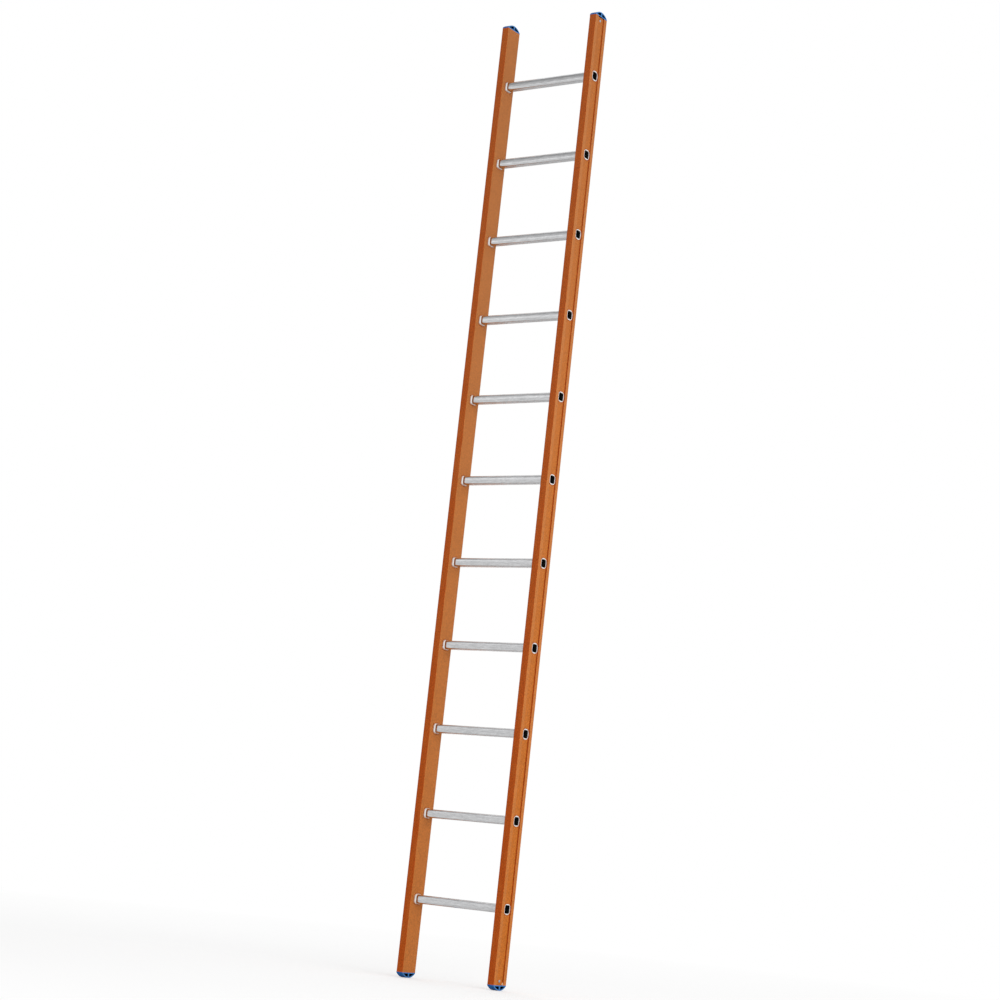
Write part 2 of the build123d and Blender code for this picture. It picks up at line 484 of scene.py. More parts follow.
def marked_fibre_colour(tree, colour, clouds):
    """Adds scuffs, rubbed edges, painted shade in the recess roots, dirt and painted shade round
    the joints, and the foot's chip.
    """
    scuffs = noise(tree, FIBRE_SCUFF_SCALE, detail=5, roughness=0.65)
    edges = remap(tree, clouds, *FIBRE_RUBBED_RANGE)
    rubbed = math_node(tree, "MULTIPLY", stored(tree, "wear"), edges)
    marks = math_node(tree, "MAXIMUM", rubbed, remap(tree, scuffs, *FIBRE_SCUFF_RANGE))
    colour = blend_colours(tree, marks, colour, FIBRE_SCUFF_COLOUR)
    # Round the joints: dirt and painted contact shade
    patches = remap(tree, clouds, *JOINT_DIRT_AND_SHADE_RANGE)
    joints = math_node(tree, "MULTIPLY", joint_dirt_and_shade(tree), patches)
    # Painted shade in the recess roots
    roots = remap(tree, stored(tree, "wear"), *ROOT_SHADE_RANGE)
    dirt_and_shade = math_node(tree, "MAXIMUM", roots, joints)
    colour = blend_colours(tree, dirt_and_shade, colour, FIBRE_DIRT_AND_SHADE_COLOUR)
    return blend_colours(tree, foot_chip(tree), colour, BARE_FIBRE_COLOUR)


def glass_fibre():
    """Pultruded profile: lengthwise fibres under an orange resin skin, with the flanges painted
    darker and redder as shade.
    """
    material, tree, shader = new_material("pultruded_glass_fibre")
    fibres = noise(tree, FIBRE_SCALE, detail=4, roughness=0.6)
    grain = noise(tree, FIBRE_GRAIN_SCALE)
    clouds = noise(tree, FIBRE_CLOUD_SCALE, detail=3)
    normal = add_node(tree, "ShaderNodeNewGeometry").outputs["Normal"]
    # Faces towards the front and back get the flanges' painted shade
    flange = remap(tree, absolute(tree, axes_of(tree, normal)[1]), *SHADED_FLANGE_RANGE)
    colour = new_fibre_colour(tree, fibres, grain, clouds, flange)
    colour = painted_light_fibre_colour(tree, colour, flange)
    colour = marked_fibre_colour(tree, colour, clouds)
    tree.links.new(colour, shader.inputs["Base Color"])
    tree.links.new(remap(tree, grain, *FIBRE_ROUGHNESS_RANGE), shader.inputs["Roughness"])
    shader.inputs["Specular IOR Level"].default_value = FIBRE_SPECULAR
    surface = bump(tree, fibres, FIBRE_RELIEF)
    tree.links.new(bump(tree, grain, FIBRE_GRAIN_RELIEF, surface), shader.inputs["Normal"])
    return material


# Rung aluminium

DIE_LINE_SCALE = (4, 2400, 2400)
BAND_SCALE = (7, 330, 330)
HANDLING_SCALE = (60, 140, 140)
SMUDGE_SCALE = (38, 260, 260)
STREAK_SCALE = (95, 520, 520)

RUNG_COLOURS = ((0.64, 0.645, 0.655), (0.75, 0.755, 0.765))
BAND_COLOUR = (0.59, 0.595, 0.61)
# Brown by the collars: dirt and a painted reflection of the stile
RUNG_DIRT_AND_REFLECTION_COLOUR = (0.28, 0.19, 0.12)
TREAD_COLOUR = (0.40, 0.40, 0.405)
WORN_METAL_COLOUR = (0.95, 0.951, 0.953)
GROOVE_DIRT_COLOUR = (0.10, 0.092, 0.082)

DIE_LINE_RANGE = (0.3, 0.7)
BAND_RANGE = (0.45, 0.65, 0.0, 0.6)
SMUDGE_RANGE = (0.33, 0.67, 0.88, 1.12)
STREAK_RANGE = (0.33, 0.67, 0.91, 1.09)
TREAD_RANGE = (0.85, 0.98)
TREAD_SCUFF_RANGE = (0.3, 0.7, 0.45, 0.95)
GROOVE_DIRT_RANGE = (0.0, -1.0, 0.0, 0.85)
POLISH_RANGE = (0.3, 0.7, 0.06, 0.13)
WORN_ROUGHNESS_RANGE = (0.4, 1.0, 0.0, 0.32)

RUNG_DIRT_AND_REFLECTION_RUN = 0.008
RUNG_DIRT_AND_REFLECTION_SHARE = 0.75
TREAD_ROUGHNESS = 0.25
DIE_LINE_RELIEF = 0.000004


def mill_finish_colour(tree, lines):
    """Bare metal from the die: fine lines, wider bands, smudges and streaks along the rung."""
    colour = blend_colours(tree, remap(tree, lines, *DIE_LINE_RANGE), *RUNG_COLOURS)
    bands = remap(tree, noise(tree, BAND_SCALE, detail=3), *BAND_RANGE)
    colour = blend_colours(tree, bands, colour, BAND_COLOUR)
    smudges = noise(tree, SMUDGE_SCALE, detail=3, roughness=0.6)
    colour = shade_by(tree, colour, smudges, SMUDGE_RANGE)
    streaks = noise(tree, STREAK_SCALE, detail=3, roughness=0.6)
    return shade_by(tree, colour, streaks, STREAK_RANGE)


def used_metal_colour(tree, colour, tread, handling):
    """Browns a rung by its collars with dirt and a painted reflection of the stile, scuffs its
    tread, brightens worn metal, dirties grooves.
    """
    along = absolute(tree, axes_of(tree, object_place(tree))[0])
    collar = inner_face - COLLAR_LENGTH
    # Brown strip by the collars: dirt and a painted reflection of the stile
    dirt_and_reflection = remap(tree, along, collar - RUNG_DIRT_AND_REFLECTION_RUN, collar, 0.0, RUNG_DIRT_AND_REFLECTION_SHARE)
    colour = blend_colours(tree, dirt_and_reflection, colour, RUNG_DIRT_AND_REFLECTION_COLOUR)
    patches = remap(tree, handling, *TREAD_SCUFF_RANGE)
    scuffed = math_node(tree, "MULTIPLY", tread, patches)
    colour = blend_colours(tree, scuffed, colour, TREAD_COLOUR)
    colour = blend_colours(tree, stored(tree, "wear"), colour, WORN_METAL_COLOUR)
    dirt = remap(tree, stored(tree, "wear"), *GROOVE_DIRT_RANGE)
    return blend_colours(tree, dirt, colour, GROOVE_DIRT_COLOUR)


def extruded_aluminium():
    """Mill-finished rung stock: fine die lines along the rung, scuffed on the treads."""
    material, tree, shader = new_material("extruded_aluminium")
    lines = noise(tree, DIE_LINE_SCALE, detail=3, roughness=0.6)
    handling = noise(tree, HANDLING_SCALE, detail=4, roughness=0.6)
    facing = add_node(tree, "ShaderNodeTexCoord").outputs["Normal"]
    tread = remap(tree, axes_of(tree, facing)[2], *TREAD_RANGE)
    colour = mill_finish_colour(tree, lines)
    colour = used_metal_colour(tree, colour, tread, handling)
    tree.links.new(colour, shader.inputs["Base Color"])
    shader.inputs["Metallic"].default_value = 1.0
    polish = remap(tree, handling, *POLISH_RANGE)
    worn = remap(tree, stored(tree, "wear"), *WORN_ROUGHNESS_RANGE)
    rough = math_node(tree, "ADD", polish, worn)
    scuffed = math_node(tree, "MULTIPLY", tread, TREAD_ROUGHNESS)
    tree.links.new(math_node(tree, "ADD", rough, scuffed), shader.inputs["Roughness"])
    tree.links.new(bump(tree, lines, DIE_LINE_RELIEF), shader.inputs["Normal"])
    return material


# Inside of the rungs

BORE_SCALE = (90, 300, 300)
# Near black inside the rungs: painted shade
BORE_SHADE_COLOURS = ((0.003, 0.003, 0.003), (0.010, 0.010, 0.009))
BORE_ROUGHNESS_RANGE = (0.3, 0.7, 0.55, 0.75)
BORE_METALLIC = 0.3
BORE_RELIEF = 0.0001


def shaded_bore():
    """Inside of a rung: unfinished metal under oxide and dust, near black with painted shade."""
    material, tree, shader = new_material("shaded_bore")
    dust = noise(tree, BORE_SCALE, detail=4)
    colour = blend_colours(tree, dust, *BORE_SHADE_COLOURS)
    tree.links.new(colour, shader.inputs["Base Color"])
    tree.links.new(remap(tree, dust, *BORE_ROUGHNESS_RANGE), shader.inputs["Roughness"])
    shader.inputs["Metallic"].default_value = BORE_METALLIC
    tree.links.new(bump(tree, dust, BORE_RELIEF), shader.inputs["Normal"])
    return material


# Cap plastic

PLASTIC_TEXTURE_SCALE = (2600, 2600, 2600)
PLASTIC_FLOW_SCALE = (90, 90, 90)
PLASTIC_SCUFF_SCALE = (420, 420, 420)
PLASTIC_COLOURS = ((0.012, 0.115, 0.37), (0.022, 0.165, 0.47))
# Paler blue of rubbed rims and edges: wear and painted highlight
PLASTIC_WORN_AND_LIT_COLOUR = (0.22, 0.44, 0.68)
# Near black in the pockets and on the seat: dirt and painted shade
PLASTIC_DIRT_AND_SHADE_COLOUR = (0.001, 0.003, 0.009)
PLASTIC_SCUFF_RANGE = (0.60, 0.72, 0.0, 0.4)
PLASTIC_DIRT_AND_SHADE_RANGE = (0.02, 0.40)
PLASTIC_ROUGHNESS_RANGE = (0.3, 0.7, 0.48, 0.60)
PLASTIC_WEAR_AND_HIGHLIGHT_SHARE = 0.8
PLASTIC_SPECULAR = 0.08
PLASTIC_RELIEF = 0.00006


def moulded_plastic():
    """Blue polypropylene cap: fine spark-eroded texture, paler where it is rubbed and with painted
    highlight on its rims and edges, darker with dirt and painted shade in its pockets and seat.
    """
    material, tree, shader = new_material("moulded_plastic")
    texture = noise(tree, PLASTIC_TEXTURE_SCALE)
    flow = noise(tree, PLASTIC_FLOW_SCALE, detail=3)
    scuffs = noise(tree, PLASTIC_SCUFF_SCALE, detail=5, roughness=0.65)
    colour = blend_colours(tree, flow, *PLASTIC_COLOURS)
    scuffed = remap(tree, scuffs, *PLASTIC_SCUFF_RANGE)
    # Rims and rounded edges paler: wear and painted highlight
    marks = math_node(tree, "MAXIMUM", stored(tree, "wear"), scuffed)
    worn = math_node(tree, "MULTIPLY", marks, PLASTIC_WEAR_AND_HIGHLIGHT_SHARE)
    colour = blend_colours(tree, worn, colour, PLASTIC_WORN_AND_LIT_COLOUR)
    # Pockets, seat ledge and spigot darkened: dirt and painted shade
    dirt_and_shade = remap(tree, stored(tree, "dirt_and_shade"), *PLASTIC_DIRT_AND_SHADE_RANGE)
    colour = blend_colours(tree, dirt_and_shade, colour, PLASTIC_DIRT_AND_SHADE_COLOUR)
    tree.links.new(colour, shader.inputs["Base Color"])
    tree.links.new(remap(tree, flow, *PLASTIC_ROUGHNESS_RANGE), shader.inputs["Roughness"])
    shader.inputs["Specular IOR Level"].default_value = PLASTIC_SPECULAR
    tree.links.new(bump(tree, texture, PLASTIC_RELIEF), shader.inputs["Normal"])
    return material


# Rivet metal

RIVET_MARK_SCALE = (900, 900, 900)
# Blue tint of the rivet metal: painted reflection
RIVET_REFLECTION_TINT_COLOURS = ((0.42, 0.50, 0.57), (0.52, 0.60, 0.66))
RIVET_ROUGHNESS_RANGE = (0.3, 0.7, 0.22, 0.38)
RIVET_RELIEF = 0.00003


def rivet_metal():
    """Bright drawn aluminium with small handling marks, tinted blue as painted reflection."""
    material, tree, shader = new_material("rivet_metal")
    marks = noise(tree, RIVET_MARK_SCALE, detail=4, roughness=0.6)
    colour = blend_colours(tree, marks, *RIVET_REFLECTION_TINT_COLOURS)
    tree.links.new(colour, shader.inputs["Base Color"])
    shader.inputs["Metallic"].default_value = 1.0
    tree.links.new(remap(tree, marks, *RIVET_ROUGHNESS_RANGE), shader.inputs["Roughness"])
    tree.links.new(bump(tree, marks, RIVET_RELIEF), shader.inputs["Normal"])
    return material


# Stiles

def stile_outline(inset, corner, edge, root):
    """Section of a stile drawn in by inset, with the rung hole's frame marked, as (u, v, wear),
    with painted shade below zero in the recess roots.
    """
    width = outer_face - inner_face
    near, far = inset, width - inset
    floor = width - RECESS_DEPTH - inset
    side = half_depth - inset
    lobe = RECESS_HALF + inset
    hole = hole_half + HOLE_FRAME
    corners = [
        (near, -side),
        (near, side),
        (far, side),
        (far, lobe),
        (floor, lobe),
        (floor, -lobe),
        (far, -lobe),
        (far, -side),
    ]
    radii = [corner, corner, corner, edge, root, root, edge, corner]
    outline = []
    for index, arc in enumerate(corner_arcs(corners, radii)):
        # The recess roots get painted shade
        in_root = index in (RECESS_FLOOR_START, RECESS_FLOOR_START + 1)
        outline += [(u, v, ROOT_SHADE if in_root else wear) for u, v, wear in arc]
        if index == INNER_FACE_START:
            outline += [(near, -hole, 0.0), (near, hole, 0.0)]
        if index == RECESS_FLOOR_START:
            outline += [(floor, hole, 0.0), (floor, -hole, 0.0)]
    return outline


def punch(bm, wear_layer, frame_corners):
    """Fill a wall's square frame round a rung hole with rounded corners. Gives the hole's rim."""
    x = frame_corners[0].co.x
    height = sum(vertex.co.z for vertex in frame_corners) / len(frame_corners)
    corners = []
    for vertex in frame_corners:
        y = math.copysign(hole_half, vertex.co.y)
        corners.append((y, height + math.copysign(hole_half, vertex.co.z - height)))
    arcs = []
    for arc in corner_arcs(corners, [HOLE_CORNER] * len(corners)):
        arcs.append(add_loop(bm, wear_layer, [(Vector((x, y, z)), 0.0) for y, z, _ in arc]))
    for index, corner in enumerate(frame_corners):
        arc = arcs[index]
        after = (index + 1) % len(arcs)
        for first, second in zip(arc, arc[1:]):
            bm.faces.new((corner, first, second))
        bm.faces.new((corner, arc[-1], arcs[after][0], frame_corners[after]))
    return [vertex for arc in arcs for vertex in arc]


def hole_columns(outline):
    """Places in a stile's outline where the frame of a rung hole starts."""
    hole = hole_half + HOLE_FRAME
    columns = []
    for index, (point, after) in enumerate(zip(outline, outline[1:])):
        if point[0] == after[0] and point[1] == -after[1] and abs(point[1]) == hole:
            columns.append(index)
    return columns


def make_stile(name, side, materials):
    """Hollow stile with rounded edges, punched for the rungs."""
    hole = hole_half + HOLE_FRAME
    levels = [stile_low.z]
    for height in rung_heights:
        levels += [height - hole, height + hole]
    levels.append(stile_high.z)
    inner_root = RECESS_ROOT + STILE_WALL
    outlines = [
        stile_outline(0.0, STILE_CORNER, RECESS_EDGE, RECESS_ROOT),
        stile_outline(STILE_WALL, STILE_INNER_CORNER, STILE_INNER_CORNER, inner_root),
    ]
    columns = hole_columns(outlines[0])

    bm = bmesh.new()
    wear_layer = bm.verts.layers.float.new("wear")
    grids = []
    for outline in outlines:
        grid = []
        for level in levels:
            points = []
            for u, v, wear in outline:
                points.append((Vector((side * (inner_face + u), v, level)), wear))
            grid.append(add_loop(bm, wear_layer, points))
        grids.append(grid)

    # Rows with an odd number are level with a rung
    count = len(outlines[0])
    for grid in grids:
        for row in range(len(levels) - 1):
            for column in range(count):
                if row % 2 == 1 and column in columns:
                    continue
                low, high = grid[row], grid[row + 1]
                after = (column + 1) % count
                bm.faces.new((low[column], low[after], high[after], high[column]))
    for row in range(1, len(levels) - 1, 2):
        for column in columns:
            rims = []
            for grid in grids:
                low, high = grid[row], grid[row + 1]
                corners = (low[column], low[column + 1], high[column + 1], high[column])
                rims.append(punch(bm, wear_layer, corners))
            bridge(bm, *rims)
    for row in (0, -1):
        bridge(bm, grids[0][row], grids[1][row])
    finish_piece(bm, f"{name}_profile", name, materials)


# Rungs

def quarter_round(start, end, along_first):
    """Points of a quarter ellipse from start to end, leaving along x or along growth."""
    points = []
    for step in range(1, ROUND_STEPS + 1):
        turn = math.pi / 2 * step / ROUND_STEPS
        fast, slow = math.sin(turn), 1 - math.cos(turn)
        share_x, share_growth = (fast, slow) if along_first else (slow, fast)
        x = start[0] + (end[0] - start[0]) * share_x
        growth = start[1] + (end[1] - start[1]) * share_growth
        points.append((x, growth))
    return points


def collar_profile():
    """The collar's slope from the tread up to the stile, slightly bulged, as (x, growth) points."""
    points = []
    for step in range(1, ROUND_STEPS + 1):
        share = step / ROUND_STEPS
        growth = (COLLAR_OVERHANG + TREAD_DRAW) * share - TREAD_DRAW
        growth += COLLAR_BULGE * math.sin(math.pi * share)
        x = inner_face - COLLAR_HEEL - (COLLAR_LENGTH - COLLAR_HEEL) * (1 - share)
        points.append((x, growth))
    return points


def lip_corner(growth):
    """Corner radius of a rung's end, from its bore over its neck to its lip."""
    if growth > 0:
        return NECK_CORNER + (LIP_CORNER - NECK_CORNER) * growth / LIP_OVERHANG
    return NECK_CORNER + (NECK_CORNER - BORE_CORNER) * growth / RUNG_WALL


def rung_stations():
    """Half of a rung, from the middle of its tread over the swaged end and into the bore.

    Each station is (x, growth over the tube's size, corner radius, tread share, wear, in bore)."""
    collar_start = inner_face - COLLAR_LENGTH
    lip_root = (recess_floor, LIP_OVERHANG - LIP_HEEL)
    lip_side = (recess_floor + LIP_HEEL, LIP_OVERHANG)
    lip_top = recess_floor + LIP_THICKNESS
    lip_face = (lip_top, LIP_OVERHANG - LIP_EDGE)
    mouth_edge = (lip_top, MOUTH_ROUND - RUNG_WALL)
    mouth = (lip_top - MOUTH_ROUND, -RUNG_WALL)

    tread = (0.0, collar_start - TREAD_HOLD, collar_start)
    stations = [(x, -TREAD_DRAW, RUNG_CORNER, 1.0, 0.0, False) for x in tread]
    for x, growth in collar_profile():
        swell = (growth + TREAD_DRAW) / (COLLAR_OVERHANG + TREAD_DRAW)
        corner = RUNG_CORNER + (COLLAR_CORNER - RUNG_CORNER) * swell
        stations.append((x, growth, corner, 0.0, COLLAR_WEAR, False))
    heel = COLLAR_OVERHANG - COLLAR_HEEL
    stations.append((inner_face, heel, COLLAR_CORNER, 0.0, 0.0, False))
    for x, growth in ((inner_face, 0.0), (recess_floor, 0.0), lip_root):
        stations.append((x, growth, lip_corner(growth), 0.0, 0.0, False))
    for x, growth in quarter_round(lip_root, lip_side, False):
        stations.append((x, growth, lip_corner(growth), 0.0, LIP_SIDE_WEAR, False))
    for x, growth in (*quarter_round(lip_side, lip_face, True), mouth_edge):
        stations.append((x, growth, lip_corner(growth), 0.0, LIP_FACE_WEAR, False))
    for x, growth in quarter_round(mouth_edge, mouth, False):
        stations.append((x, growth, lip_corner(growth), 0.0, MOUTH_WEAR, False))
    stations.append((lip_top - BORE_RUN, -RUNG_WALL, BORE_CORNER, 0.0, 0.0, True))
    return stations


def groove_line(spread):
    """The grooves across a tread, as (y, how deep from zero to one, crest wear)."""
    pitch = 2 * (RUNG_HALF - RUNG_CORNER) / GROOVE_COUNT
    line = []
    for number in range(GROOVE_COUNT):
        centre = (number - (GROOVE_COUNT - 1) / 2) * pitch
        for step in range(GROOVE_STEPS + 1):
            share = 2 * step / GROOVE_STEPS - 1
            dip = (1 + math.cos(math.pi * share)) / 2
            crest = CREST_WEAR if step in (0, GROOVE_STEPS) else 0.0
            line.append(((centre + share * GROOVE_HALF_WIDTH) * spread, dip, crest))
    return line


def rung_loop(x, growth, corner, tread_share, wear, height):
    """Positions round a rung's section at x, with crowned sides and the grooves of both treads."""
    half = RUNG_HALF + growth
    corners = [(half, -half), (half, half), (-half, half), (-half, -half)]
    grooves = groove_line((half - corner) / (RUNG_HALF - RUNG_CORNER))
    deep = GROOVE_DEPTH * tread_share
    side = [(step / CORNER_STEPS * 2 - 1) * (half - corner) for step in range(1, CORNER_STEPS)]
    rear = [(half, z, 0.0) for z in side]
    top = [(-y, half - deep * dip, crest - dip) for y, dip, crest in grooves]
    front = [(-half, -z, 0.0) for z in side]
    bottom = [(y, deep * dip - half, crest) for y, dip, crest in grooves]
    flat = []
    for arc, face in zip(corner_arcs(corners, [corner] * len(corners)), (rear, top, front, bottom)):
        flat += [(y, z, 0.0) for y, z, _ in arc]
        flat += face
    points = []
    for y, z, mark in flat:
        crown = SIDE_CROWN * tread_share * (1 - (z / half) ** 2) / half
        place = Vector((x, y * (1 + crown), height + z))
        points.append((place, mark * tread_share if tread_share else wear))
    return points


def make_rung(name, height, materials):
    """One hollow rung, built as a closed skin over its outside, both mouths and its bore."""
    half = rung_stations()
    stations = half + [(-x, *rest) for x, *rest in reversed(half[1:])]
    bm = bmesh.new()
    wear_layer = bm.verts.layers.float.new("wear")
    loops = []
    for station in stations:
        loops.append(add_loop(bm, wear_layer, rung_loop(*station[:-1], height)))
    for index, station in enumerate(stations):
        after = (index + 1) % len(stations)
        inside = station[-1] or stations[after][-1]
        bridge(bm, loops[index], loops[after], 1 if inside else 0)
    finish_piece(bm, f"{name}_swaged", name, materials)


# End caps and rivets

def dome_line(inset):
    """A cap's head from the side, drawn in, from its front foot over the dome, as (y, height)."""
    reach = half_depth - inset
    radius = dome_radius - inset
    sweep = math.asin(reach / radius)
    line = [(-reach, 0.0)]
    for step in range(DOME_STEPS + 1):
        turn = sweep * (2 * step / DOME_STEPS - 1)
        line.append((radius * math.sin(turn), dome_centre + radius * math.cos(turn)))
    line.append((reach, 0.0))
    return line


def pocket_line(growth):
    """A pocket's outline from the foot of the web round under the dome, grown, as (y, height)."""
    web = CAP_WEB / 2 - growth
    base = CAP_RIM - growth
    radius = dome_radius - base
    first = math.acos((base - dome_centre) / radius)
    last = math.asin(web / radius)
    line = [(web, base)]
    for step in range(DOME_STEPS // 2 + 1):
        turn = first + (last - first) * 2 * step / DOME_STEPS
        line.append((radius * math.sin(turn), dome_centre + radius * math.cos(turn)))
    return line


def edge_round(radius):
    """Steps of a rounded edge, as (depth below the face, drawn in from the side, how worn and how
    much painted highlight).
    """
    steps = []
    for step in range(ROUND_STEPS + 1):
        turn = math.pi / 2 * step / ROUND_STEPS
        wear = max(EDGE_WEAR_AND_HIGHLIGHT * math.sin(2 * turn), RIM_WEAR_AND_HIGHLIGHT * math.cos(turn))
        steps.append((radius * (1 - math.cos(turn)), radius * (1 - math.sin(turn)), wear))
    return steps


def add_pocketed_side(bm, add, line, face, inward):
    """Close one side of a cap's head: the rim, the web and two pockets. Gives the rim's middle."""
    centre = add(face, 0.0, 0.0, RIM_WEAR_AND_HIGHLIGHT)
    crown = len(line) // 2
    floor = (outer_face - inner_face - CAP_CORE) / 2
    mouth = [(depth, growth, wear, 0.0) for depth, growth, wear in edge_round(POCKET_ROUND)]
    # The pocket floor gets full dirt and painted shade
    mouth.append((floor, 0.0, 0.0, 1.0))
    for half in (-1, 1):
        outer = line[:crown + 1] if half < 0 else line[:crown - 1:-1]
        loops = []
        for depth, growth, wear, dirt_and_shade in mouth:
            x = face + inward * depth
            loop = [add(x, half * y, height, wear, dirt_and_shade) for y, height in pocket_line(growth)]
            loops.append(loop)
        rim = loops[0]
        bm.faces.new((centre, outer[0], rim[1], rim[0]))
        bm.faces.new((outer[0], outer[1], rim[1]))
        for index in range(1, len(outer) - 1):
            bm.faces.new((outer[index], outer[index + 1], rim[index + 1], rim[index]))
        bm.faces.new((outer[-1], centre, rim[0], rim[-1]))
        for first, second in zip(loops, loops[1:]):
            bridge(bm, first, second)
        bm.faces.new(loops[-1])
    return centre


def add_spigot(bm, add, perimeter):
    """The seat that meets the stile's cut end, and the hollow spigot that goes inside the stile."""
    middle = (outer_face - inner_face) / 2
    # The seat ledge, and the spigot inside the stile, get dirt and painted shade
    ledge = []
    for vertex in perimeter:
        across = abs(vertex.co.x) - inner_face
        x = middle + (across - middle) * LEDGE_SCALE
        ledge.append(add(x, vertex.co.y * LEDGE_SCALE, 0.0, 0.0, 1.0))
    bridge(bm, perimeter, ledge)
    loops = []
    walls = ((SPIGOT_INSET, 0.0), (SPIGOT_INSET, -SPIGOT_LENGTH))
    hollow = SPIGOT_INSET + SPIGOT_WALL
    for inset, height in (*walls, (hollow, -SPIGOT_LENGTH), (hollow, 0.0)):
        outline = stile_outline(inset, SPIGOT_CORNER, SPIGOT_CORNER, SPIGOT_CORNER)
        loops.append([add(u, v, height, 0.0, 1.0) for u, v, _ in outline])
    for first, second in zip(loops, loops[1:]):
        bridge(bm, first, second)
    bm.faces.new(loops[-1])
    rims = []
    for loop in (ledge, loops[0]):
        for first, second in zip(loop, loop[1:] + loop[:1]):
            rims.append(bm.edges.get((first, second)))
    bmesh.ops.triangle_fill(bm, edges=rims, use_beauty=True)


def make_cap(name, side, end, materials):
    """One end cap: the domed head with rounded edges and pocketed sides, and its spigot."""
    bm = bmesh.new()
    wear_layer = bm.verts.layers.float.new("wear")
    dirt_and_shade_layer = bm.verts.layers.float.new("dirt_and_shade")
    seat = stile_high.z if end > 0 else stile_low.z
    width = outer_face - inner_face

    def add(across, y, height, wear=0.0, dirt_and_shade=0.0):
        vertex = bm.verts.new((side * (inner_face + across), y, seat + end * height))
        vertex[wear_layer] = wear
        vertex[dirt_and_shade_layer] = dirt_and_shade
        return vertex

    rounded = edge_round(CAP_ROUND)
    stations = rounded + [(width - depth, inset, wear) for depth, inset, wear in reversed(rounded)]
    lines = []
    for across, inset, wear in stations:
        lines.append([add(across, y, height, wear) for y, height in dome_line(inset)])
    for first, second in zip(lines, lines[1:]):
        for index in range(len(first) - 1):
            bm.faces.new((first[index], first[index + 1], second[index + 1], second[index]))
    near = add_pocketed_side(bm, add, lines[0], 0.0, 1)
    far = add_pocketed_side(bm, add, lines[-1], width, -1)
    rear = [line[-1] for line in lines]
    front = [line[0] for line in reversed(lines)]
    add_spigot(bm, add, [near, *rear, far, *front])
    finish_piece(bm, f"{name}_moulding", name, materials)


def rivet_profile():
    """A rivet from its head's socket over the dome and down to its tail, as (radius, out)."""
    profile = [(RIVET_SOCKET, RIVET_CROWN - RIVET_SOCKET_DEPTH)]
    for step in range(ROUND_STEPS + 1):
        turn = math.pi / 2 * step / ROUND_STEPS
        radius = RIVET_SOCKET + (RIVET_HEAD - RIVET_SOCKET) * math.sin(turn)
        profile.append((radius, RIVET_EDGE + (RIVET_CROWN - RIVET_EDGE) * math.cos(turn)))
    profile += [
        (RIVET_HEAD, 0.0),
        (RIVET_SHANK, 0.0),
        (RIVET_SHANK, -RIVET_GRIP),
        (RIVET_TAIL, -RIVET_GRIP),
        (RIVET_TAIL, -RIVET_GRIP - RIVET_TAIL_LENGTH),
    ]
    return profile


def make_rivet(name, materials):
    """Blind rivet: domed head with the hole its mandrel leaves, shank and set tail."""
    low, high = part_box(name)
    side = math.copysign(1, low.x + high.x)
    height = (low.z + high.z) / 2
    bm = bmesh.new()
    wear_layer = bm.verts.layers.float.new("wear")
    loops = []
    for radius, out in rivet_profile():
        points = []
        for index in range(RIVET_SIDES):
            turn = 2 * math.pi * index / RIVET_SIDES
            y, z = radius * math.cos(turn), height + radius * math.sin(turn)
            points.append((Vector((side * (recess_floor + out), y, z)), 0.0))
        loops.append(add_loop(bm, wear_layer, points))
    for first, second in zip(loops, loops[1:]):
        bridge(bm, first, second)
    bm.faces.new(loops[0])
    bm.faces.new(loops[-1])
    finish_piece(bm, f"{name}_blind", name, materials)


# Studio

WHITE = (1.0, 1.0, 1.0, 1.0)
AMBIENT = 0.54

# What the metal mirrors, as (height from level to overhead, how bright)
STUDIO_STEPS = (
    (0.0, 0.78),
    (0.16, 0.80),
    (0.20, 1.0),
    (0.245, 1.0),
    (0.275, 0.70),
    (0.36, 0.55),
    (0.42, 0.36),
    (0.64, 0.40),
    (0.78, 1.0),
)

RIGHT_WALL_RANGE = (-0.3, 0.3)
FLOOR_COLOUR = (0.70, 0.70, 0.70, 1.0)
FLOOR_SIZE = 60.0
FLOOR_LIFT = 0.39
FLOOR_AWAY_RANGE = (1.5, 6.0)
FLOOR_FRONT_RANGE = (-2.0, 2.0, 0.5, 0.0)
FLOOR_REAR_RANGE = (0.0, 2.0)
BACKDROP_RANGE = (8.9, 9.9)
KEY_PANEL = {
    "place": (8.5, -3.0, 2.7),
    "target": (0.0, 0.0, 1.2),
    "width": 11.0,
    "height": 5.4,
    "power": 665.0,
}
REAR_PANEL = {
    "place": (-5.0, 5.0, 6.0),
    "target": (0.0, 0.0, 6.0),
    "width": 8.0,
    "height": 5.0,
    "power": 240.0,
}


def seen_directly(tree, mirrored):
    """How far a ray shows the background itself: camera and see-through rays fully."""
    path = add_node(tree, "ShaderNodeLightPath").outputs
    seen = math_node(tree, "MAXIMUM", path["Is Camera Ray"], path["Is Transmission Ray"])
    glossy = math_node(tree, "MULTIPLY", path["Is Glossy Ray"], mirrored)
    return math_node(tree, "MAXIMUM", seen, glossy)


